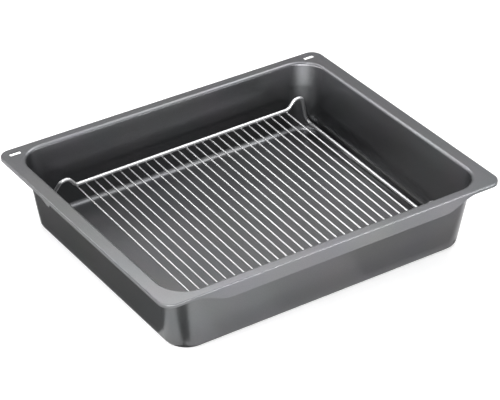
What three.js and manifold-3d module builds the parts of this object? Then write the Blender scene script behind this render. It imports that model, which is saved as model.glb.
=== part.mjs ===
// Deep oven pan with a wire rack that stands inside it.
// Millimetres, +Z up, +Y towards the back of the oven.
// The origin lies under the middle of the pan, on the surface it stands on.

import * as THREE from 'three';
import { mergeVertices } from 'three/addons/utils/BufferGeometryUtils.js';
import Module from 'manifold-3d';

// Pan: sheet and overall sizes
const SHEET = 1;
const PAN_WIDTH = 455;
const FLANGE_DEPTH = 375;
const PAN_HEIGHT = 89;

// Pan: flange round the mouth, from its outer edge to where the mouth starts to turn down
const SIDE_FLANGE = 15;
const FRONT_FLANGE = 9.5;
const REAR_FLANGE = 10;
const RIM_CORNER_RADIUS = 15;
const RIM_BEND_RADIUS = 1.2;
const LIP_DROP = 4.2;

// Pan: drawn well
const MOUTH_FILLET = 4;
const MOUTH_CORNER_RADIUS = 37;
const FLOOR_CORNER_RADIUS = 28;
const WALL_DRAFT = THREE.MathUtils.degToRad(7.9);
const FLOOR_FILLET = 7;

// Pan: apron that hangs from the front edge
const APRON_DROP = 16.2;
const APRON_SLANT = THREE.MathUtils.degToRad(6);
const APRON_END_INSET = 39;
const APRON_RUNOUT = 44;

// Pan: pull-out stops on the side lips
const STOP_DROP = 7.7;
const STOP_FLAT = 5;
const STOP_RAMP = 14;
const STOP_FACE_RUN = 0.5;
const STOP_REAR_INSET = 126;

// Pan: slots in the rear corners of the flange, placed by their middles
const SLOT_LENGTH = 14.5;
const SLOT_WIDTH = 5.6;
const SLOT_SIDE_INSET = 18.6;
const SLOT_REAR_INSET = 12.4;

// Rack: wires
const FRAME_WIRE = 4.4;
const GRID_WIRE = 2;
const GRID_COUNT = 27;
const GRID_SIDE_INSET = 42.6;
const WELD_GAP = 0.3;

// Rack: the grid wires are welded on a little unevenly. They stand to the left of the middle,
// closer together towards the right, and lean to the right at the rear
const GRID_SHIFT = -2;
const GRID_DRIFT = 2.8;
const GRID_LEAN = THREE.MathUtils.degToRad(0.67);

// Rack: bends of the frame at its four corners
const BAR_END_MARGIN = 2;
const HUMP_RUN = 9.5;
const HUMP_CROWN = 10.5;
const HUMP_RISE = 11.3;
const FRAME_BEND_RADIUS = 8;
const REAR_LEG_SPLAY = 17.3;
const FRONT_LEG_SPLAY = 3;
const RAIL_DROP = 34.8;

// Rack: seat in the pan, with the rails on the floor fillets and the rear feet up in the corners
const SEAT_CLEARANCE = 0.3;
const RAIL_BEARING = THREE.MathUtils.degToRad(18);
const FOOT_GAP = 10;
const REST_TILT = THREE.MathUtils.degToRad(1.4);
const REAR_BAR_ROLL = THREE.MathUtils.degToRad(0.75);
const SEAT_SEARCH_STEPS = 40;

// Faceting
const CORNER_STEPS = 10;
const FILLET_STEPS = 5;
const RIM_BEND_STEPS = 3;
const RUNOUT_STEPS = 8;
const FRAME_BEND_STEPS = 6;
const WIRE_SIDES = 12;

const QUARTER_TURN = Math.PI / 2;
const APRON_OVERHANG = Math.tan(APRON_SLANT) * (APRON_DROP - LIP_DROP);

// The whole pan is centred front to back, apron included
const RIM = {
  halfX: PAN_WIDTH / 2,
  front: -FLANGE_DEPTH / 2 + APRON_OVERHANG / 2,
  rear: FLANGE_DEPTH / 2 + APRON_OVERHANG / 2,
};
const MOUTH = {
  halfX: RIM.halfX - SIDE_FLANGE,
  front: RIM.front + FRONT_FLANGE,
  rear: RIM.rear - REAR_FLANGE,
};

// Section of the drawn well on its inner skin: inset from the mouth line and height
const WALL_TURN = QUARTER_TURN - WALL_DRAFT;
const FLOOR_TOP = SHEET;
const MOUTH_CENTRE_HEIGHT = PAN_HEIGHT - MOUTH_FILLET;
const WALL_TOP_INSET = MOUTH_FILLET * Math.sin(WALL_TURN);
const WALL_TOP_HEIGHT = MOUTH_CENTRE_HEIGHT + MOUTH_FILLET * Math.cos(WALL_TURN);
const FLOOR_CENTRE_HEIGHT = FLOOR_TOP + FLOOR_FILLET;
const WALL_FOOT_HEIGHT = FLOOR_CENTRE_HEIGHT - FLOOR_FILLET * Math.cos(WALL_TURN);
const WALL_FOOT_INSET = WALL_TOP_INSET + (WALL_TOP_HEIGHT - WALL_FOOT_HEIGHT) * Math.tan(WALL_DRAFT);
const FLOOR_INSET = WALL_FOOT_INSET + FLOOR_FILLET * Math.sin(WALL_TURN);

function inset(outline, distance) {
  return {
    halfX: outline.halfX - distance,
    front: outline.front + distance,
    rear: outline.rear - distance,
  };
}

// Heights of the front edge and of the side lips below the flange

function apronDrop(x) {
  const outerEnd = RIM.halfX - APRON_END_INSET;
  const share = THREE.MathUtils.smoothstep(outerEnd - Math.abs(x), 0, APRON_RUNOUT);
  return THREE.MathUtils.lerp(LIP_DROP, APRON_DROP, share);
}

const STOP_FACE = RIM.rear - STOP_REAR_INSET;
const STOP_OUTLINE = [
  [STOP_FACE - STOP_FACE_RUN, LIP_DROP],
  [STOP_FACE, STOP_DROP],
  [STOP_FACE + STOP_FLAT, STOP_DROP],
  [STOP_FACE + STOP_FLAT + STOP_RAMP / 2, (STOP_DROP + LIP_DROP) / 2],
  [STOP_FACE + STOP_FLAT + STOP_RAMP, LIP_DROP],
];

// Stations round the pan: every ring of the sheet has one point at each of them

function apronStations() {
  const outerEnd = RIM.halfX - APRON_END_INSET;
  const stations = [];
  for (let step = 0; step <= RUNOUT_STEPS; step += 1) {
    stations.push(outerEnd - (APRON_RUNOUT * step) / RUNOUT_STEPS);
  }
  return [...stations.map((x) => -x), ...stations.reverse()];
}

function share(value, from, to) {
  return (value - from) / (to - from);
}

function makeStations() {
  const frontEnd = RIM.front + RIM_CORNER_RADIUS;
  const rearEnd = RIM.rear - RIM_CORNER_RADIUS;
  const sideEnd = RIM.halfX - RIM_CORNER_RADIUS;
  const stations = [];
  const addCorner = (signX, end, startAngle) => {
    for (let step = 0; step <= CORNER_STEPS; step += 1) {
      const angle = startAngle + (QUARTER_TURN * step) / CORNER_STEPS;
      stations.push({ kind: 'corner', signX, end, angle });
    }
  };
  for (const [y, drop] of STOP_OUTLINE) {
    stations.push({ kind: 'side', signX: 1, share: share(y, frontEnd, rearEnd), drop });
  }
  addCorner(1, 'rear', 0);
  addCorner(-1, 'rear', QUARTER_TURN);
  for (const [y, drop] of [...STOP_OUTLINE].reverse()) {
    stations.push({ kind: 'side', signX: -1, share: share(y, frontEnd, rearEnd), drop });
  }
  addCorner(-1, 'front', 2 * QUARTER_TURN);
  for (const x of apronStations()) {
    stations.push({ kind: 'front', share: share(x, -sideEnd, sideEnd), drop: apronDrop(x) });
  }
  addCorner(1, 'front', 3 * QUARTER_TURN);
  return stations;
}

const STATIONS = makeStations();

function stationPoint(station, outline, radius, height) {
  const sideEnd = outline.halfX - radius;
  const frontEnd = outline.front + radius;
  const rearEnd = outline.rear - radius;
  if (station.kind === 'side') {
    const y = THREE.MathUtils.lerp(frontEnd, rearEnd, station.share);
    return new THREE.Vector3(station.signX * outline.halfX, y, height);
  }
  if (station.kind === 'front') {
    const x = THREE.MathUtils.lerp(-sideEnd, sideEnd, station.share);
    return new THREE.Vector3(x, outline.front, height);
  }
  const y = station.end === 'rear' ? rearEnd : frontEnd;
  return new THREE.Vector3(
    station.signX * sideEnd + radius * Math.cos(station.angle),
    y + radius * Math.sin(station.angle),
    height,
  );
}

function ring(outline, radius, height) {
  return STATIONS.map((station) => stationPoint(station, outline, radius, height));
}

// Rings of the lip's lower edge follow the apron and the stops
function lipEdgeRing(edgeInset) {
  return STATIONS.map((station) => {
    const drop = station.drop ?? LIP_DROP;
    const point = stationPoint(station, inset(RIM, edgeInset), RIM_CORNER_RADIUS - edgeInset, PAN_HEIGHT - drop);
    if (station.kind === 'front') {
      point.y -= Math.tan(APRON_SLANT) * (drop - LIP_DROP);
    }
    return point;
  });
}

// Each skin of the sheet is measured from the upper, inner one: depth is 0 there and SHEET below it

function rimBendRings(depth) {
  const rings = [];
  for (let step = 0; step <= RIM_BEND_STEPS; step += 1) {
    const turn = (QUARTER_TURN * step) / RIM_BEND_STEPS;
    const radius = RIM_BEND_RADIUS - depth;
    const edgeInset = RIM_BEND_RADIUS - radius * Math.sin(turn);
    const height = PAN_HEIGHT - RIM_BEND_RADIUS + radius * Math.cos(turn);
    rings.push(ring(inset(RIM, edgeInset), RIM_CORNER_RADIUS - edgeInset, height));
  }
  return rings;
}

function mouthRings(depth) {
  const rings = [];
  for (let step = 0; step <= FILLET_STEPS; step += 1) {
    const turn = (WALL_TURN * step) / FILLET_STEPS;
    const radius = MOUTH_FILLET - depth;
    const mouthInset = radius * Math.sin(turn);
    const height = MOUTH_CENTRE_HEIGHT + radius * Math.cos(turn);
    rings.push(ring(inset(MOUTH, mouthInset), MOUTH_CORNER_RADIUS - mouthInset, height));
  }
  return rings;
}

function floorFilletRings(depth) {
  const rings = [];
  for (let step = 0; step <= FILLET_STEPS; step += 1) {
    const turn = WALL_TURN * (1 - step / FILLET_STEPS);
    const radius = FLOOR_FILLET + depth;
    const floorInset = FLOOR_INSET - radius * Math.sin(turn);
    const height = FLOOR_CENTRE_HEIGHT - radius * Math.cos(turn);
    const cornerRadius = FLOOR_CORNER_RADIUS - (floorInset - WALL_FOOT_INSET);
    rings.push(ring(inset(MOUTH, floorInset), cornerRadius, height));
  }
  return rings;
}

// Skin a stack of rings, closed by a middle point at each end

function closedSkin(rings, firstMiddle, lastMiddle) {
  const count = rings[0].length;
  const points = [firstMiddle, ...rings.flat(), lastMiddle];
  const last = points.length - 1;
  const at = (ringIndex, station) => 1 + ringIndex * count + (station % count);
  const index = [];
  for (let station = 0; station < count; station += 1) {
    index.push(0, at(0, station + 1), at(0, station));
    for (let level = 0; level < rings.length - 1; level += 1) {
      const a = at(level, station);
      const b = at(level, station + 1);
      const c = at(level + 1, station + 1);
      const d = at(level + 1, station);
      index.push(a, b, c, a, c, d);
    }
    index.push(last, at(rings.length - 1, station), at(rings.length - 1, station + 1));
  }
  const geometry = new THREE.BufferGeometry().setFromPoints(points);
  geometry.setIndex(index);
  return geometry;
}

function panSheetGeometry() {
  const rings = [
    ...floorFilletRings(SHEET).reverse(),
    ...mouthRings(SHEET).reverse(),
    ...rimBendRings(SHEET),
    lipEdgeRing(SHEET),
    lipEdgeRing(0),
    ...rimBendRings(0).reverse(),
    ...mouthRings(0),
    ...floorFilletRings(0),
  ];
  const middleY = (MOUTH.front + MOUTH.rear) / 2;
  return closedSkin(rings, new THREE.Vector3(0, middleY, 0), new THREE.Vector3(0, middleY, FLOOR_TOP));
}

// Cuts

const wasm = await Module();
wasm.setup();

function toSolid(geometry) {
  const bare = geometry.clone();
  bare.deleteAttribute('normal');
  bare.deleteAttribute('uv');
  const merged = mergeVertices(bare);
  return new wasm.Manifold(
    new wasm.Mesh({
      numProp: 3,
      vertProperties: new Float32Array(merged.attributes.position.array),
      triVerts: new Uint32Array(merged.index.array),
    }),
  );
}

function toGeometry(solid) {
  const mesh = solid.getMesh();
  const geometry = new THREE.BufferGeometry();
  geometry.setAttribute('position', new THREE.BufferAttribute(new Float32Array(mesh.vertProperties), 3));
  geometry.setIndex(new THREE.BufferAttribute(new Uint32Array(mesh.triVerts), 1));
  geometry.computeVertexNormals();
  return geometry;
}

function panGeometry() {
  let solid = toSolid(panSheetGeometry());
  for (const side of [-1, 1]) {
    const slot = new THREE.BoxGeometry(SLOT_LENGTH, SLOT_WIDTH, 4 * SHEET);
    slot.translate(side * (RIM.halfX - SLOT_SIDE_INSET), RIM.rear - SLOT_REAR_INSET, PAN_HEIGHT - SHEET / 2);
    solid = solid.subtract(toSolid(slot));
  }
  return toGeometry(solid);
}

// Rack, in its own frame: its middle, at the height of the grid wires

const BAR_HEIGHT = (FRAME_WIRE + GRID_WIRE) / 2 + WELD_GAP;
const FRAME_RADIUS = FRAME_WIRE / 2;

// The rails lie on the floor fillets, so their distance apart follows the pan
const FILLET_ROOM = FLOOR_FILLET - FRAME_RADIUS - SEAT_CLEARANCE;
const RAIL_X = MOUTH.halfX - FLOOR_INSET + FILLET_ROOM * Math.sin(RAIL_BEARING);
const RAIL_SEAT_HEIGHT = FLOOR_CENTRE_HEIGHT - FILLET_ROOM * Math.cos(RAIL_BEARING);
const FLOOR_LENGTH = MOUTH.rear - MOUTH.front - 2 * FLOOR_INSET;
const FOOT_Y = FLOOR_LENGTH / 2 - FOOT_GAP;
const REAR_BAR_Y = FOOT_Y - REAR_LEG_SPLAY;
const FRONT_BAR_Y = FRONT_LEG_SPLAY - FOOT_Y;
const FRONT_REST_Y = FRAME_BEND_RADIUS - FOOT_Y;

// The grid fills the width between the rails
const GRID_HALF_WIDTH = RAIL_X - GRID_SIDE_INSET;
const BAR_HALF_LENGTH = GRID_HALF_WIDTH + BAR_END_MARGIN;

// The rack is slightly twisted, so that its rear bar is rolled a little to the left
function windRise(x, y) {
  return Math.tan(REAR_BAR_ROLL) * x * share(y, FRONT_REST_Y, REAR_BAR_Y);
}

// Corner points of the frame in one quarter, from its bar out to its rail
function frameQuarter(signX, barY, footY) {
  const crownX = BAR_HALF_LENGTH + HUMP_RUN;
  return [
    new THREE.Vector3(signX * BAR_HALF_LENGTH, barY, BAR_HEIGHT),
    new THREE.Vector3(signX * crownX, barY, BAR_HEIGHT + HUMP_RISE),
    new THREE.Vector3(signX * (crownX + HUMP_CROWN), barY, BAR_HEIGHT + HUMP_RISE),
    new THREE.Vector3(signX * RAIL_X, footY, -RAIL_DROP),
  ];
}

// Centre line of a closed wire with its corner points rounded off
function roundedLoop(corners, bendRadius, steps) {
  const points = [];
  corners.forEach((corner, i) => {
    const before = corners[(i + corners.length - 1) % corners.length].clone().sub(corner).normalize();
    const after = corners[(i + 1) % corners.length].clone().sub(corner).normalize();
    const halfAngle = before.angleTo(after) / 2;
    const towardsCentre = before.clone().add(after).normalize();
    const centre = corner.clone().addScaledVector(towardsCentre, bendRadius / Math.sin(halfAngle));
    const start = corner.clone().addScaledVector(before, bendRadius / Math.tan(halfAngle)).sub(centre);
    const axis = before.clone().cross(after).normalize();
    const sweep = Math.PI - 2 * halfAngle;
    for (let step = 0; step <= steps; step += 1) {
      const arm = start.clone().applyAxisAngle(axis, (-sweep * step) / steps);
      points.push(arm.add(centre));
    }
  });
  return points;
}

// Round wire along a closed centre line; the section is carried round without twisting,
// and what it has turned by when it comes back is spread over the whole loop
function closedWireGeometry(points, radius, sides) {
  const count = points.length;
  const tangents = points.map((point, i) => {
    const next = points[(i + 1) % count];
    const previous = points[(i + count - 1) % count];
    const out = next.clone().sub(point).normalize();
    const into = point.clone().sub(previous).normalize();
    return out.add(into).normalize();
  });
  const normals = [new THREE.Vector3(0, 0, 1)];
  normals[0].projectOnPlane(tangents[0]).normalize();
  for (let i = 1; i <= count; i += 1) {
    const turn = new THREE.Quaternion().setFromUnitVectors(tangents[i - 1], tangents[i % count]);
    normals.push(normals[i - 1].clone().applyQuaternion(turn));
  }
  const returned = normals[count];
  const side = new THREE.Vector3().crossVectors(tangents[0], normals[0]);
  const twist = Math.atan2(returned.dot(side), returned.dot(normals[0]));
  const vertices = [];
  const index = [];
  for (let i = 0; i < count; i += 1) {
    const normal = normals[i].clone().applyAxisAngle(tangents[i], (-twist * i) / count);
    const binormal = new THREE.Vector3().crossVectors(tangents[i], normal);
    for (let j = 0; j < sides; j += 1) {
      const angle = (2 * Math.PI * j) / sides;
      const vertex = points[i].clone();
      vertex.addScaledVector(normal, radius * Math.cos(angle));
      vertex.addScaledVector(binormal, radius * Math.sin(angle));
      vertices.push(vertex);
      const a = i * sides + j;
      const b = i * sides + ((j + 1) % sides);
      const c = ((i + 1) % count) * sides + ((j + 1) % sides);
      const d = ((i + 1) % count) * sides + j;
      index.push(a, c, d, a, b, c);
    }
  }
  const geometry = new THREE.BufferGeometry().setFromPoints(vertices);
  geometry.setIndex(index);
  geometry.computeVertexNormals();
  return geometry;
}

function frameCentreLine() {
  const corners = [
    ...frameQuarter(1, REAR_BAR_Y, FOOT_Y),
    ...frameQuarter(1, FRONT_BAR_Y, -FOOT_Y).reverse(),
    ...frameQuarter(-1, FRONT_BAR_Y, -FOOT_Y),
    ...frameQuarter(-1, REAR_BAR_Y, FOOT_Y).reverse(),
  ];
  const points = roundedLoop(corners, FRAME_BEND_RADIUS, FRAME_BEND_STEPS);
  points.forEach((point) => {
    point.z += windRise(point.x, point.y);
  });
  return points;
}

// Seat of the rack in the well

function distanceOutside(point, outline, radius) {
  const middleY = (outline.front + outline.rear) / 2;
  const acrossX = Math.abs(point.x) - (outline.halfX - radius);
  const acrossY = Math.abs(point.y - middleY) - ((outline.rear - outline.front) / 2 - radius);
  const beyond = Math.hypot(Math.max(acrossX, 0), Math.max(acrossY, 0));
  return beyond + Math.min(Math.max(acrossX, acrossY), 0) - radius;
}

// How far a point in the well lies from its inner skin
function wellRoom(point) {
  if (point.z >= WALL_FOOT_HEIGHT) {
    const wallInset = WALL_TOP_INSET + (WALL_TOP_HEIGHT - point.z) * Math.tan(WALL_DRAFT);
    const rise = share(point.z, WALL_FOOT_HEIGHT, WALL_TOP_HEIGHT);
    const radius = THREE.MathUtils.lerp(FLOOR_CORNER_RADIUS, MOUTH_CORNER_RADIUS - WALL_TOP_INSET, rise);
    return -distanceOutside(point, inset(MOUTH, wallInset), radius) * Math.cos(WALL_DRAFT);
  }
  const floorRadius = FLOOR_CORNER_RADIUS - (FLOOR_INSET - WALL_FOOT_INSET);
  const beyondFloor = distanceOutside(point, inset(MOUTH, FLOOR_INSET), floorRadius);
  if (beyondFloor <= 0) {
    return point.z - FLOOR_TOP;
  }
  return FLOOR_FILLET - Math.hypot(beyondFloor, FLOOR_CENTRE_HEIGHT - point.z);
}

// Tilted with its front feet down on the fillets, then slid back until the rear feet meet the corners
function seatRack(rack, centreLine) {
  const rearHalf = centreLine.filter((point) => point.y > 0);
  rack.rotation.x = REST_TILT;
  rack.position.z = RAIL_SEAT_HEIGHT + RAIL_DROP * Math.cos(REST_TILT) - FRONT_REST_Y * Math.sin(REST_TILT);
  let clear = (MOUTH.front + MOUTH.rear) / 2;
  let blocked = clear + FLOOR_LENGTH / 2;
  for (let step = 0; step < SEAT_SEARCH_STEPS; step += 1) {
    rack.position.y = (clear + blocked) / 2;
    rack.updateMatrix();
    const room = Math.min(...rearHalf.map((point) => wellRoom(point.clone().applyMatrix4(rack.matrix))));
    if (room >= FRAME_RADIUS + SEAT_CLEARANCE) {
      clear = rack.position.y;
    } else {
      blocked = rack.position.y;
    }
  }
  rack.position.y = clear;
}

// Assembly

function part(name, geometry, material) {
  const mesh = new THREE.Mesh(geometry, material);
  mesh.name = name;
  return mesh;
}

function enamelMaterial() {
  return new THREE.MeshStandardMaterial({ color: 0x5c5d60, roughness: 0.42, metalness: 0.2 });
}

function brightWireMaterial() {
  return new THREE.MeshStandardMaterial({ color: 0xd4d5d6, roughness: 0.22, metalness: 1 });
}

function makeRack() {
  const rack = new THREE.Group();
  const centreLine = frameCentreLine();
  rack.add(part('rack_frame', closedWireGeometry(centreLine, FRAME_RADIUS, WIRE_SIDES), brightWireMaterial()));
  const wireLength = REAR_BAR_Y - FRONT_BAR_Y + FRAME_WIRE;
  for (let i = 0; i < GRID_COUNT; i += 1) {
    const radius = GRID_WIRE / 2;
    const geometry = new THREE.CylinderGeometry(radius, radius, wireLength, WIRE_SIDES);
    const wire = part(`rack_wire_${String(i + 1).padStart(2, '0')}`, geometry, brightWireMaterial());
    const across = 2 * share(i, 0, GRID_COUNT - 1) - 1;
    const x = GRID_HALF_WIDTH * across + GRID_SHIFT + GRID_DRIFT * (1 - across * across);
    const middleY = (REAR_BAR_Y + FRONT_BAR_Y) / 2;
    const climb = windRise(x, REAR_BAR_Y) - windRise(x, FRONT_BAR_Y);
    wire.position.set(x, middleY, windRise(x, middleY));
    wire.rotation.set(Math.atan2(climb, REAR_BAR_Y - FRONT_BAR_Y), 0, -GRID_LEAN);
    rack.add(wire);
  }
  seatRack(rack, centreLine);
  return rack;
}

const panWithRack = new THREE.Group();
panWithRack.add(part('pan', panGeometry(), enamelMaterial()));
panWithRack.add(makeRack());

export default panWithRack;
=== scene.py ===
import math

import bpy
from mathutils import Matrix, Quaternion, Vector


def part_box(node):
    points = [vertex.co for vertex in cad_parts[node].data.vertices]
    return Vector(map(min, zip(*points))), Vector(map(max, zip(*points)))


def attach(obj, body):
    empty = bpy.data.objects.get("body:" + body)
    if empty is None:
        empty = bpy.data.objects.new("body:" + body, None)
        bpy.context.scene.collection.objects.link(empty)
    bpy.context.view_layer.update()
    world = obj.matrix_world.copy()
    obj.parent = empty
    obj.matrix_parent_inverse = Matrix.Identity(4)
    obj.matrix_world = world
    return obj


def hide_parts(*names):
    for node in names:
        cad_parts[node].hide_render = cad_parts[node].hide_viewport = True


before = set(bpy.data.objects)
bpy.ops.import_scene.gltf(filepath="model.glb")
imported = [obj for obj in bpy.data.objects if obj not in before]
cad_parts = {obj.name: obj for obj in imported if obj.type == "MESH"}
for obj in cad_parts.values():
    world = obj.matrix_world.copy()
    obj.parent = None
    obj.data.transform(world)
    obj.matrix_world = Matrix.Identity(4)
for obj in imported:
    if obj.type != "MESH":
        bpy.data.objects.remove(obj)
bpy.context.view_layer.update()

MM = 0.001
QUARTER = math.pi / 2

# Pan sizes, in millimetres
SHEET = 1.0
PAN_WIDTH = 455.0
FLANGE_DEPTH = 375.0
PAN_HEIGHT = 89.0
SIDE_FLANGE = 15.0
FRONT_FLANGE = 9.5
REAR_FLANGE = 10.0
RIM_CORNER_RADIUS = 15.0
RIM_BEND_RADIUS = 1.2
LIP_DROP = 4.2
MOUTH_FILLET = 4.0
MOUTH_CORNER_RADIUS = 37.0
FLOOR_CORNER_RADIUS = 28.0
WALL_DRAFT = math.radians(7.9)
FLOOR_FILLET = 7.0
APRON_DROP = 16.2
APRON_SLANT = math.radians(6)
APRON_END_INSET = 39.0
APRON_RUNOUT = 44.0
STOP_DROP = 7.7
STOP_FLAT = 5.0
STOP_RAMP = 14.0
STOP_FACE_RUN = 0.5
STOP_REAR_INSET = 126.0
SLOT_LENGTH = 14.5
SLOT_WIDTH = 5.6
SLOT_SIDE_INSET = 18.6
SLOT_REAR_INSET = 12.4

# Rack sizes, in millimetres
FRAME_WIRE = 4.4
GRID_WIRE = 2.0
GRID_COUNT = 27
GRID_SIDE_INSET = 42.6
WELD_GAP = 0.3
GRID_SHIFT = -2.0
GRID_DRIFT = 2.8
GRID_LEAN = math.radians(0.67)
BAR_END_MARGIN = 2.0
HUMP_RUN = 9.5
HUMP_CROWN = 10.5
HUMP_RISE = 11.3
FRAME_BEND_RADIUS = 8.0
REAR_LEG_SPLAY = 17.3
FRONT_LEG_SPLAY = 3.0
RAIL_DROP = 34.8
SEAT_CLEARANCE = 0.3
RAIL_BEARING = math.radians(18)
FOOT_GAP = 10.0
REST_TILT = math.radians(1.4)
REAR_BAR_ROLL = math.radians(0.75)
WIRE_END_ROUND = 0.35
WELD_ACROSS = 1.25
WELD_ALONG = 1.7
WELD_RISE = 0.8
WELD_LEAN = 0.12
WELD_OVAL = 0.10
WELD_BUMPS = 0.05
WELD_TIP = 0.08

# Fineness of the meshes
CORNER_STEPS = 24
FILLET_STEPS = 9
RIM_BEND_STEPS = 6
RUNOUT_STEPS = 18
STOP_STEPS = 6
FRAME_BEND_STEPS = 14
FRAME_SIDES = 24
WIRE_SIDES = 16
WIRE_END_STEPS = 3
WELD_SIDES = 12
WELD_LEVELS = 6
PAN_SHARP_ANGLE = math.radians(35)
WIRE_SHARP_ANGLE = math.radians(50)
FLAT_FACE_WEIGHT = 80

# Values that follow from the sizes
APRON_OVERHANG = math.tan(APRON_SLANT) * (APRON_DROP - LIP_DROP)
RIM = (PAN_WIDTH / 2, -FLANGE_DEPTH / 2 + APRON_OVERHANG / 2, FLANGE_DEPTH / 2 + APRON_OVERHANG / 2)
MOUTH = (RIM[0] - SIDE_FLANGE, RIM[1] + FRONT_FLANGE, RIM[2] - REAR_FLANGE)
WALL_TURN = QUARTER - WALL_DRAFT
MOUTH_CENTRE = PAN_HEIGHT - MOUTH_FILLET
WALL_TOP_INSET = MOUTH_FILLET * math.sin(WALL_TURN)
WALL_TOP = MOUTH_CENTRE + MOUTH_FILLET * math.cos(WALL_TURN)
FLOOR_CENTRE = SHEET + FLOOR_FILLET
WALL_FOOT = FLOOR_CENTRE - FLOOR_FILLET * math.cos(WALL_TURN)
WALL_FOOT_INSET = WALL_TOP_INSET + (WALL_TOP - WALL_FOOT) * math.tan(WALL_DRAFT)
FLOOR_INSET = WALL_FOOT_INSET + FLOOR_FILLET * math.sin(WALL_TURN)


# Pan sheet

def inset(outline, distance):
    return (outline[0] - distance, outline[1] + distance, outline[2] - distance)


def lerp(a, b, share):
    return a + (b - a) * share


def apron_drop(x):
    reach = (RIM[0] - APRON_END_INSET - abs(x)) / APRON_RUNOUT
    reach = min(max(reach, 0.0), 1.0)
    return lerp(LIP_DROP, APRON_DROP, reach * reach * (3 - 2 * reach))


def stop_outline():
    face = RIM[2] - STOP_REAR_INSET
    points = [(face - STOP_FACE_RUN, LIP_DROP), (face, STOP_DROP)]
    for step in range(STOP_STEPS + 1):
        share = step / STOP_STEPS
        points.append((face + STOP_FLAT + STOP_RAMP * share, lerp(STOP_DROP, LIP_DROP, share)))
    return points


def make_stations():
    front_end = RIM[1] + RIM_CORNER_RADIUS
    rear_end = RIM[2] - RIM_CORNER_RADIUS
    side_end = RIM[0] - RIM_CORNER_RADIUS
    stations = []

    def add_corner(sign, end, start):
        for step in range(CORNER_STEPS + 1):
            stations.append(("corner", sign, end, start + QUARTER * step / CORNER_STEPS, LIP_DROP))

    def add_side(sign, outline):
        for y, drop in outline:
            stations.append(("side", sign, None, (y - front_end) / (rear_end - front_end), drop))

    add_side(1, stop_outline())
    add_corner(1, "rear", 0)
    add_corner(-1, "rear", QUARTER)
    add_side(-1, stop_outline()[::-1])
    add_corner(-1, "front", 2 * QUARTER)
    half = [RIM[0] - APRON_END_INSET - APRON_RUNOUT * i / RUNOUT_STEPS for i in range(RUNOUT_STEPS + 1)]
    for x in [-x for x in half] + half[::-1]:
        stations.append(("front", 1, None, (x + side_end) / (2 * side_end), apron_drop(x)))
    add_corner(1, "front", 3 * QUARTER)
    return stations


STATIONS = make_stations()


def station_point(station, outline, radius, height):
    kind, sign, end, place, _ = station
    side_end = outline[0] - radius
    front_end = outline[1] + radius
    rear_end = outline[2] - radius
    if kind == "side":
        return Vector((sign * outline[0], lerp(front_end, rear_end, place), height))
    if kind == "front":
        return Vector((lerp(-side_end, side_end, place), outline[1], height))
    middle = rear_end if end == "rear" else front_end
    return Vector((sign * side_end + radius * math.cos(place), middle + radius * math.sin(place), height))


def ring(outline, radius, height):
    return [station_point(station, outline, radius, height) for station in STATIONS]


def lip_edge_ring(edge):
    points = []
    for station in STATIONS:
        drop = station[4]
        point = station_point(station, inset(RIM, edge), RIM_CORNER_RADIUS - edge, PAN_HEIGHT - drop)
        if station[0] == "front":
            point.y -= math.tan(APRON_SLANT) * (drop - LIP_DROP)
        points.append(point)
    return points


def rim_bend_rings(depth):
    rings = []
    radius = RIM_BEND_RADIUS - depth
    for step in range(RIM_BEND_STEPS + 1):
        turn = QUARTER * step / RIM_BEND_STEPS
        edge = RIM_BEND_RADIUS - radius * math.sin(turn)
        height = PAN_HEIGHT - RIM_BEND_RADIUS + radius * math.cos(turn)
        rings.append(ring(inset(RIM, edge), RIM_CORNER_RADIUS - edge, height))
    return rings


def mouth_rings(depth):
    rings = []
    radius = MOUTH_FILLET - depth
    for step in range(FILLET_STEPS + 1):
        turn = WALL_TURN * step / FILLET_STEPS
        across = radius * math.sin(turn)
        height = MOUTH_CENTRE + radius * math.cos(turn)
        rings.append(ring(inset(MOUTH, across), MOUTH_CORNER_RADIUS - across, height))
    return rings


def floor_fillet_rings(depth):
    rings = []
    radius = FLOOR_FILLET + depth
    for step in range(FILLET_STEPS + 1):
        turn = WALL_TURN * (1 - step / FILLET_STEPS)
        across = FLOOR_INSET - radius * math.sin(turn)
        corner = FLOOR_CORNER_RADIUS - (across - WALL_FOOT_INSET)
        height = FLOOR_CENTRE - radius * math.cos(turn)
        rings.append(ring(inset(MOUTH, across), corner, height))
    return rings


def new_object(name, points, faces):
    mesh = bpy.data.meshes.new(name)
    mesh.from_pydata([point * MM for point in points], [], faces)
    mesh.validate()
    mesh.update()
    piece = bpy.data.objects.new(name, mesh)
    bpy.context.scene.collection.objects.link(piece)
    return piece


def smooth(piece, sharp_angle):
    piece.data.shade_smooth()
    piece.data.set_sharp_from_angle(angle=sharp_angle)
    weights = piece.modifiers.new("flat_faces_lead", "WEIGHTED_NORMAL")
    weights.mode = "FACE_AREA"
    weights.weight = FLAT_FACE_WEIGHT
    weights.keep_sharp = True


def apply_modifiers(piece):
    bpy.context.view_layer.update()
    depsgraph = bpy.context.evaluated_depsgraph_get()
    mesh = bpy.data.meshes.new_from_object(piece.evaluated_get(depsgraph))
    old = piece.data
    piece.modifiers.clear()
    piece.data = mesh
    bpy.data.meshes.remove(old)


def pan_sheet():
    rings = floor_fillet_rings(SHEET)[::-1]
    rings += mouth_rings(SHEET)[::-1]
    rings += rim_bend_rings(SHEET)
    rings += [lip_edge_ring(SHEET), lip_edge_ring(0)]
    rings += rim_bend_rings(0)[::-1]
    rings += mouth_rings(0)
    rings += floor_fillet_rings(0)
    count = len(STATIONS)
    points = [point for one in rings for point in one]
    faces = [list(range(count))[::-1]]
    for level in range(len(rings) - 1):
        for i in range(count):
            j = (i + 1) % count
            low = level * count
            high = low + count
            faces.append((low + i, low + j, high + j, high + i))
    last = (len(rings) - 1) * count
    faces.append([last + i for i in range(count)])
    return new_object("pan_enamelled_sheet", points, faces)


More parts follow.
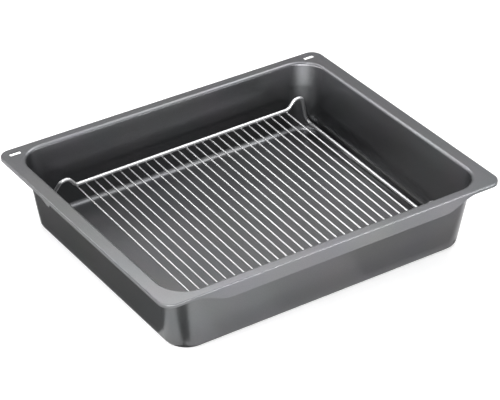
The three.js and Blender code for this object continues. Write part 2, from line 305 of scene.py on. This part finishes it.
def box_mesh(name, centre, size):
    corners = [
        Vector((centre[0] + sx * size[0] / 2, centre[1] + sy * size[1] / 2, centre[2] + sz * size[2] / 2))
        for sz in (-1, 1) for sy in (-1, 1) for sx in (-1, 1)
    ]
    faces = [(0, 2, 3, 1), (4, 5, 7, 6), (0, 1, 5, 4), (2, 6, 7, 3), (0, 4, 6, 2), (1, 3, 7, 5)]
    return new_object(name, corners, faces)


def cut_slots(pan):
    cutters = []
    for side in (-1, 1):
        centre = (side * (RIM[0] - SLOT_SIDE_INSET), RIM[2] - SLOT_REAR_INSET, PAN_HEIGHT - SHEET / 2)
        cutter = box_mesh("slot_cutter", centre, (SLOT_LENGTH, SLOT_WIDTH, 4 * SHEET))
        cut = pan.modifiers.new("slot", "BOOLEAN")
        cut.operation = "DIFFERENCE"
        cut.solver = "EXACT"
        cut.object = cutter
        cutters.append(cutter)
    apply_modifiers(pan)
    for cutter in cutters:
        bpy.data.objects.remove(cutter, do_unlink=True)


# Rack wires

BAR_RISE = (FRAME_WIRE + GRID_WIRE) / 2 + WELD_GAP
FILLET_ROOM = FLOOR_FILLET - FRAME_WIRE / 2 - SEAT_CLEARANCE
RAIL_X = MOUTH[0] - FLOOR_INSET + FILLET_ROOM * math.sin(RAIL_BEARING)
FOOT_Y = (MOUTH[2] - MOUTH[1] - 2 * FLOOR_INSET) / 2 - FOOT_GAP
REAR_BAR_Y = FOOT_Y - REAR_LEG_SPLAY
FRONT_BAR_Y = FRONT_LEG_SPLAY - FOOT_Y
FRONT_REST_Y = FRAME_BEND_RADIUS - FOOT_Y
GRID_MIDDLE_Y = (REAR_BAR_Y + FRONT_BAR_Y) / 2
GRID_HALF_WIDTH = RAIL_X - GRID_SIDE_INSET
BAR_HALF_LENGTH = GRID_HALF_WIDTH + BAR_END_MARGIN


# The slight twist of the rack
def wind_rise(x, y):
    return math.tan(REAR_BAR_ROLL) * x * (y - FRONT_REST_Y) / (REAR_BAR_Y - FRONT_REST_Y)


# The grid wires stand a little unevenly, and lean to the right at the rear
def wire_point(index, y):
    across = 2 * index / (GRID_COUNT - 1) - 1
    x = GRID_HALF_WIDTH * across + GRID_SHIFT + GRID_DRIFT * (1 - across * across)
    return Vector((x + math.tan(GRID_LEAN) * (y - GRID_MIDDLE_Y), y, wind_rise(x, y)))


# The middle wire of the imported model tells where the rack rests
def rack_seat():
    middle_wire = GRID_COUNT // 2
    low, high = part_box("rack_wire_%02d" % (middle_wire + 1))
    middle = (Vector(low) + Vector(high)) / (2 * MM)
    tilt = Matrix.Rotation(REST_TILT, 4, "X")
    return Matrix.Translation(middle) @ tilt @ Matrix.Translation(-wire_point(middle_wire, GRID_MIDDLE_Y))


SEAT = rack_seat()


def frame_quarter(sign, bar_y, foot_y):
    crown_x = BAR_HALF_LENGTH + HUMP_RUN
    return [
        Vector((sign * BAR_HALF_LENGTH, bar_y, BAR_RISE)),
        Vector((sign * crown_x, bar_y, BAR_RISE + HUMP_RISE)),
        Vector((sign * (crown_x + HUMP_CROWN), bar_y, BAR_RISE + HUMP_RISE)),
        Vector((sign * RAIL_X, foot_y, -RAIL_DROP)),
    ]


def rounded_loop(corners, radius, steps):
    points = []
    for i, corner in enumerate(corners):
        before = (corners[i - 1] - corner).normalized()
        after = (corners[(i + 1) % len(corners)] - corner).normalized()
        half = before.angle(after) / 2
        centre = corner + (before + after).normalized() * (radius / math.sin(half))
        start = corner + before * (radius / math.tan(half)) - centre
        axis = before.cross(after).normalized()
        sweep = math.pi - 2 * half
        for step in range(steps + 1):
            points.append(centre + Quaternion(axis, -sweep * step / steps) @ start)
    return points


def closed_wire(name, points, radius, sides):
    count = len(points)
    tangents = []
    for i, point in enumerate(points):
        out = (points[(i + 1) % count] - point).normalized()
        into = (point - points[i - 1]).normalized()
        tangents.append((out + into).normalized())
    normals = [Vector((0, 0, 1))]
    normals[0] -= tangents[0] * normals[0].dot(tangents[0])
    normals[0].normalize()
    for i in range(1, count + 1):
        turn = tangents[i - 1].rotation_difference(tangents[i % count])
        normals.append(turn @ normals[-1])
    side = tangents[0].cross(normals[0])
    twist = math.atan2(normals[count].dot(side), normals[count].dot(normals[0]))
    vertices = []
    faces = []
    for i in range(count):
        normal = Quaternion(tangents[i], -twist * i / count) @ normals[i]
        binormal = tangents[i].cross(normal)
        for j in range(sides):
            angle = 2 * math.pi * j / sides
            spoke = normal * math.cos(angle) + binormal * math.sin(angle)
            vertices.append(SEAT @ (points[i] + spoke * radius))
            a = i * sides + j
            b = i * sides + (j + 1) % sides
            c = ((i + 1) % count) * sides + (j + 1) % sides
            d = ((i + 1) % count) * sides + j
            faces.append((a, b, c, d))
    return new_object(name, vertices, faces)


def rack_frame():
    corners = frame_quarter(1, REAR_BAR_Y, FOOT_Y)
    corners += frame_quarter(1, FRONT_BAR_Y, -FOOT_Y)[::-1]
    corners += frame_quarter(-1, FRONT_BAR_Y, -FOOT_Y)
    corners += frame_quarter(-1, REAR_BAR_Y, FOOT_Y)[::-1]
    loop = rounded_loop(corners, FRAME_BEND_RADIUS, FRAME_BEND_STEPS)
    for point in loop:
        point.z += wind_rise(point.x, point.y)
    return closed_wire("rack_frame_wire", loop, FRAME_WIRE / 2, FRAME_SIDES)


# A straight grid wire with its cut ends broken round
def grid_wire(index):
    radius = GRID_WIRE / 2
    front = FRONT_BAR_Y - FRAME_WIRE / 2
    rear = REAR_BAR_Y + FRAME_WIRE / 2
    ends = []
    for step in range(WIRE_END_STEPS + 1):
        turn = QUARTER * step / WIRE_END_STEPS
        ends.append((WIRE_END_ROUND * (1 - math.cos(turn)), radius - WIRE_END_ROUND * (1 - math.sin(turn))))
    sections = [(front + along, wide) for along, wide in ends]
    sections += [(rear - along, wide) for along, wide in ends[::-1]]
    points = []
    for along, wide in sections:
        for j in range(WIRE_SIDES):
            angle = 2 * math.pi * j / WIRE_SIDES
            spoke = Vector((wide * math.cos(angle), 0, wide * math.sin(angle)))
            points.append(SEAT @ (wire_point(index, along) + spoke))
    faces = [list(range(WIRE_SIDES))]
    for level in range(len(sections) - 1):
        for j in range(WIRE_SIDES):
            k = (j + 1) % WIRE_SIDES
            low = level * WIRE_SIDES
            faces.append((low + k, low + j, low + WIRE_SIDES + j, low + WIRE_SIDES + k))
    last = (len(sections) - 1) * WIRE_SIDES
    faces.append([last + j for j in range(WIRE_SIDES)][::-1])
    return new_object("grid_wire_%02d" % (index + 1), points, faces)


# Squeezed lumps of the spot welds, where each grid wire meets the two bars
def weld_beads():
    points = []
    faces = []
    for index in range(GRID_COUNT):
        for bar, bar_y in enumerate((FRONT_BAR_Y, REAR_BAR_Y)):
            rise = Vector((0, 0, GRID_WIRE / 2 + WELD_GAP / 2))
            add_weld(points, faces, wire_point(index, bar_y) + rise, 2 * index + bar)
    return new_object("spot_welds", points, faces)


# One lump, with a shape that changes a little with its number
def add_weld(points, faces, centre, number):
    low = len(points)
    lean = WELD_LEAN * math.sin(2.4 * number)
    for level in range(WELD_LEVELS + 1):
        turn = math.pi * (level / WELD_LEVELS - 0.5)
        for j in range(WELD_SIDES):
            angle = 2 * math.pi * j / WELD_SIDES
            oval = WELD_OVAL * math.cos(2 * angle + 1.7 * number)
            bumps = WELD_BUMPS * math.cos(3 * angle + number)
            wide = max(math.cos(turn), WELD_TIP) * (1 + oval + bumps)
            offset = Vector((
                (WELD_ACROSS * math.cos(angle) + lean) * wide,
                (WELD_ALONG * math.sin(angle) - lean) * wide,
                WELD_RISE * math.sin(turn),
            ))
            points.append(SEAT @ (centre + offset))
    faces.append([low + j for j in range(WELD_SIDES)][::-1])
    for level in range(WELD_LEVELS):
        for j in range(WELD_SIDES):
            k = (j + 1) % WELD_SIDES
            one = low + level * WELD_SIDES
            faces.append((one + j, one + k, one + WELD_SIDES + k, one + WELD_SIDES + j))
    faces.append([low + WELD_LEVELS * WELD_SIDES + j for j in range(WELD_SIDES)])


# Materials

# Noise scales, in features per metre
SPECK_SCALE = 2600
PEEL_SCALE = 700
CLOUD_SCALE = 14
MARK_SCALE = 900

# The share of the cloud's tone in the enamel
CLOUD_SHARE = 0.12

# The span that noise mostly stays in
NOISE_LOW = 0.3
NOISE_HIGH = 0.7


def node_material(name):
    material = bpy.data.materials.new(name)
    material.use_nodes = True
    tree = material.node_tree
    shader = tree.nodes["Principled BSDF"]
    place = tree.nodes.new("ShaderNodeTexCoord")
    return material, tree, shader, place


def noise(tree, place, scale, detail):
    texture = tree.nodes.new("ShaderNodeTexNoise")
    texture.inputs["Scale"].default_value = scale
    texture.inputs["Detail"].default_value = detail
    tree.links.new(place.outputs["Object"], texture.inputs["Vector"])
    return texture


def ramp(tree, source, stops):
    node = tree.nodes.new("ShaderNodeValToRGB")
    elements = node.color_ramp.elements
    while len(elements) < len(stops):
        elements.new(0.5)
    for element, (position, colour) in zip(elements, stops):
        element.position = position
        element.color = (*colour, 1)
    tree.links.new(source, node.inputs["Fac"])
    return node


def spread(tree, source, low, high):
    node = tree.nodes.new("ShaderNodeMapRange")
    node.inputs["From Min"].default_value = NOISE_LOW
    node.inputs["From Max"].default_value = NOISE_HIGH
    node.inputs["To Min"].default_value = low
    node.inputs["To Max"].default_value = high
    tree.links.new(source, node.inputs["Value"])
    return node


def bump(tree, source, strength, distance):
    node = tree.nodes.new("ShaderNodeBump")
    node.inputs["Strength"].default_value = strength
    node.inputs["Distance"].default_value = distance
    tree.links.new(source, node.inputs["Height"])
    return node


# Satin dark enamel: fine specks in the glass, a faint cloud in its tone and a slight orange peel
def enamel():
    material, tree, shader, place = node_material("satin_enamel")
    specks = noise(tree, place, SPECK_SCALE, 2)
    cloud = noise(tree, place, CLOUD_SCALE, 3)
    tone = ramp(tree, specks.outputs["Fac"], [
        (0.30, (0.104, 0.105, 0.109)),
        (0.52, (0.120, 0.121, 0.125)),
        (0.74, (0.147, 0.148, 0.153)),
    ])
    shade = tree.nodes.new("ShaderNodeMix")
    shade.data_type = "RGBA"
    shade.blend_type = "MULTIPLY"
    shade.inputs["Factor"].default_value = CLOUD_SHARE
    tree.links.new(tone.outputs["Color"], shade.inputs["A"])
    tree.links.new(cloud.outputs["Color"], shade.inputs["B"])
    tree.links.new(shade.outputs["Result"], shader.inputs["Base Color"])
    gloss = spread(tree, cloud.outputs["Fac"], 0.28, 0.32)
    tree.links.new(gloss.outputs["Result"], shader.inputs["Roughness"])
    peel = noise(tree, place, PEEL_SCALE, 2)
    relief = bump(tree, peel.outputs["Fac"], 0.04, 0.0001)
    tree.links.new(relief.outputs["Normal"], shader.inputs["Normal"])
    shader.inputs["Metallic"].default_value = 0.92
    shader.inputs["IOR"].default_value = 1.5
    return material


# Bright plated wire with faint drawing marks
def plated_wire():
    material, tree, shader, place = node_material("bright_plated_wire")
    marks = noise(tree, place, MARK_SCALE, 3)
    tone = ramp(tree, marks.outputs["Fac"], [
        (0.25, (0.43, 0.434, 0.44)),
        (0.60, (0.52, 0.522, 0.525)),
        (0.85, (0.60, 0.60, 0.60)),
    ])
    tree.links.new(tone.outputs["Color"], shader.inputs["Base Color"])
    gloss = spread(tree, marks.outputs["Fac"], 0.38, 0.48)
    tree.links.new(gloss.outputs["Result"], shader.inputs["Roughness"])
    relief = bump(tree, marks.outputs["Fac"], 0.05, 0.0001)
    tree.links.new(relief.outputs["Normal"], shader.inputs["Normal"])
    shader.inputs["Metallic"].default_value = 1.0
    return material


def finish_piece(piece, material, body, node):
    piece.data.materials.clear()
    piece.data.materials.append(material)
    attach(piece, body)
    if node:
        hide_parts(node)


enamel_material = enamel()
wire_material = plated_wire()

pan_piece = pan_sheet()
cut_slots(pan_piece)
smooth(pan_piece, PAN_SHARP_ANGLE)
finish_piece(pan_piece, enamel_material, "pan", "pan")

frame_piece = rack_frame()
frame_piece.data.shade_smooth()
finish_piece(frame_piece, wire_material, "rack", "rack_frame")

for wire_index in range(GRID_COUNT):
    wire_piece = grid_wire(wire_index)
    wire_piece.data.shade_smooth()
    wire_piece.data.set_sharp_from_angle(angle=WIRE_SHARP_ANGLE)
    finish_piece(wire_piece, wire_material, "rack", "rack_wire_%02d" % (wire_index + 1))

weld_piece = weld_beads()
weld_piece.data.shade_smooth()
finish_piece(weld_piece, wire_material, "rack", None)


# Stage, light and camera

FLOOR_LIFT = 0.28
FLOOR_TONE = 0.9
FLOOR_REACH = 9000
FLOOR_DROP = 0.2
CARD_DROP = 0.1
MATT_ROUGHNESS = 0.9
BACKGROUND_WHITE = 1.0
FILL = 0.0

# Camera, in metres, degrees and millimetres
CAMERA_PLACE = (-1.215884, -1.829565, 1.447656)
CAMERA_ELEVATION = 32.575
CAMERA_BEARING = -33.682
CAMERA_LENS = 160.898
SENSOR_WIDTH = 36.0
VIEW_LIMIT = 50.0

# Softboxes: name, place, aim and size in metres, and power in watts
LAMPS = [
    ("overhead_left", (-0.7, -0.1, 2.0), (0, 0, 0), (0.28, 0.28), 17),
    ("overhead_right", (0.85, -0.35, 1.5), (0, 0, 0), (1.4, 0.9), 13),
    ("left_low", (-1.7, 0.2, 0.45), (0, 0, 0.05), (1.5, 0.25), 22),
    ("rear_low", (0.305, 0.458, 0.8), (0, 0, 0.1), (1.3, 0.15), 6),
    ("rear_left", (-0.9, 1.4, 1.1), (0, 0, 0.05), (0.4, 0.4), 6),
    ("front_low", (-0.986, -1.479, 0.28), (0, 0, 0.05), (2.0, 0.25), 72),
    ("front_strip", (0.75, -1.3, 0.07), (0, 0, 0.07), (1.6, 0.12), 32),
]


def floor_corners(x0, y0, x1, y1):
    return [(x0, y0, 0), (x1, y0, 0), (x1, y1, 0), (x0, y1, 0)]


def wall_corners(x0, y0, x1, y1, low, high):
    return [(x0, y0, low), (x1, y1, low), (x1, y1, high), (x0, y0, high)]


# The floor before the front left corner, where a near-black card paints the darkest band that the corner
# reflects
CORNER_DARK_BAND_PATCH = [
    (-0.195, -0.163, 0),
    (-0.285, -0.183, 0),
    (-0.225, -0.254, 0),
    (-0.185, -0.174, 0),
]

# Grey studio cards that show only in reflections, where they paint reflected shade and light: name, corners
# in metres and tone
REFLECTION_CARDS = [
    # Near-black card under the pan: a painted shadow that stands in for the contact shadow in the foot's
    # reflection
    ("foot_shadow_card", floor_corners(-0.194, -0.163, 0.194, 0.165), 0.02),
    # Dark card beside the left wall: painted shade, which darkens the floor that the left wall reflects
    ("left_wall_shade_card", floor_corners(-0.270, -0.115, -0.200, 0.230), 0.15),
    # Near-black card: a painted dark reflection band in the front left corner
    ("corner_dark_band_card", CORNER_DARK_BAND_PATCH, 0.02),
    # Lighter to darker cards in front: a painted reflection that makes the front wall brighter at the left
    # than at the right
    ("front_reflection_card_left", floor_corners(-0.140, -0.270, -0.060, -0.170), 0.95),
    ("front_reflection_card_middle", floor_corners(-0.060, -0.270, 0.060, -0.170), 0.80),
    ("front_reflection_card_right", floor_corners(0.060, -0.270, 0.400, -0.170), 0.54),
    # Grey card standing behind the pan: painted shade in the sheen of the rear and right flanges, darker
    # towards the far side
    ("rear_flange_shade_card", wall_corners(-0.387, 1.220, 1.273, 0.112, 0.05, 0.52), 0.30),
]


# One for the rays of the camera, of reflections and of glass, and nought for the others
def background_rays(tree):
    path = tree.nodes.new("ShaderNodeLightPath")
    seen = tree.nodes.new("ShaderNodeMath")
    seen.operation = "MAXIMUM"
    tree.links.new(path.outputs["Is Camera Ray"], seen.inputs[0])
    tree.links.new(path.outputs["Is Glossy Ray"], seen.inputs[1])
    through = tree.nodes.new("ShaderNodeMath")
    through.operation = "MAXIMUM"
    tree.links.new(seen.outputs[0], through.inputs[0])
    tree.links.new(path.outputs["Is Transmission Ray"], through.inputs[1])
    return through.outputs[0]


# Pale floor: what the camera and the reflections see of it is lifted a little, up to white
def floor():
    signs = ((-1, -1), (1, -1), (1, 1), (-1, 1))
    points = [Vector((x * FLOOR_REACH, y * FLOOR_REACH, -FLOOR_DROP)) for x, y in signs]
    plane = new_object("stage_floor", points, [(0, 1, 2, 3)])
    material, tree, shader, _ = node_material("stage_floor_paint")
    shader.inputs["Base Color"].default_value = (FLOOR_TONE, FLOOR_TONE, FLOOR_TONE, 1)
    shader.inputs["Roughness"].default_value = MATT_ROUGHNESS
    shader.inputs["Specular IOR Level"].default_value = 0.0
    shader.inputs["Emission Color"].default_value = (1, 1, 1, 1)
    lift = tree.nodes.new("ShaderNodeMath")
    lift.operation = "MULTIPLY"
    lift.inputs[1].default_value = FLOOR_LIFT
    tree.links.new(background_rays(tree), lift.inputs[0])
    tree.links.new(lift.outputs[0], shader.inputs["Emission Strength"])
    plane.data.materials.append(material)


# A matt card just over the floor or standing on it, seen only in reflections: its tone paints reflected
# shade or light onto the pan
def card(name, corners, tone):
    over_floor = Vector((0, 0, -CARD_DROP))
    plane = new_object(name, [Vector(corner) / MM + over_floor for corner in corners], [(0, 1, 2, 3)])
    material, _, shader, _ = node_material(name + "_paint")
    shader.inputs["Base Color"].default_value = (tone, tone, tone, 1)
    shader.inputs["Roughness"].default_value = MATT_ROUGHNESS
    shader.inputs["Specular IOR Level"].default_value = 0.0
    plane.data.materials.append(material)
    plane.visible_camera = False
    plane.visible_diffuse = False
    plane.visible_transmission = False
    plane.visible_shadow = False


def world_light():
    world = bpy.data.worlds.new("studio")
    bpy.context.scene.world = world
    world.use_nodes = True
    tree = world.node_tree
    background = tree.nodes["Background"]
    background.inputs["Color"].default_value = (1, 1, 1, 1)
    level = tree.nodes.new("ShaderNodeMapRange")
    level.inputs["To Min"].default_value = FILL
    level.inputs["To Max"].default_value = BACKGROUND_WHITE
    tree.links.new(background_rays(tree), level.inputs["Value"])
    tree.links.new(level.outputs["Result"], background.inputs["Strength"])


def softbox(name, place, target, size, power):
    data = bpy.data.lights.new(name, "AREA")
    data.shape = "RECTANGLE"
    data.size = size[0]
    data.size_y = size[1]
    data.energy = power
    lamp = bpy.data.objects.new(name, data)
    bpy.context.scene.collection.objects.link(lamp)
    lamp.location = place
    aim = Vector(target) - Vector(place)
    lamp.rotation_euler = aim.to_track_quat("-Z", "Y").to_euler()


def camera():
    data = bpy.data.cameras.new("camera")
    data.sensor_fit = "HORIZONTAL"
    data.sensor_width = SENSOR_WIDTH
    data.lens = CAMERA_LENS
    data.clip_end = VIEW_LIMIT
    eye = bpy.data.objects.new("camera", data)
    bpy.context.scene.collection.objects.link(eye)
    eye.location = CAMERA_PLACE
    eye.rotation_euler = (math.radians(90 - CAMERA_ELEVATION), 0, math.radians(CAMERA_BEARING))
    bpy.context.scene.camera = eye


floor()
world_light()
for lamp_row in LAMPS:
    softbox(*lamp_row)
for card_row in REFLECTION_CARDS:
    card(*card_row)
camera()
bpy.context.scene.view_settings.view_transform = "Standard"
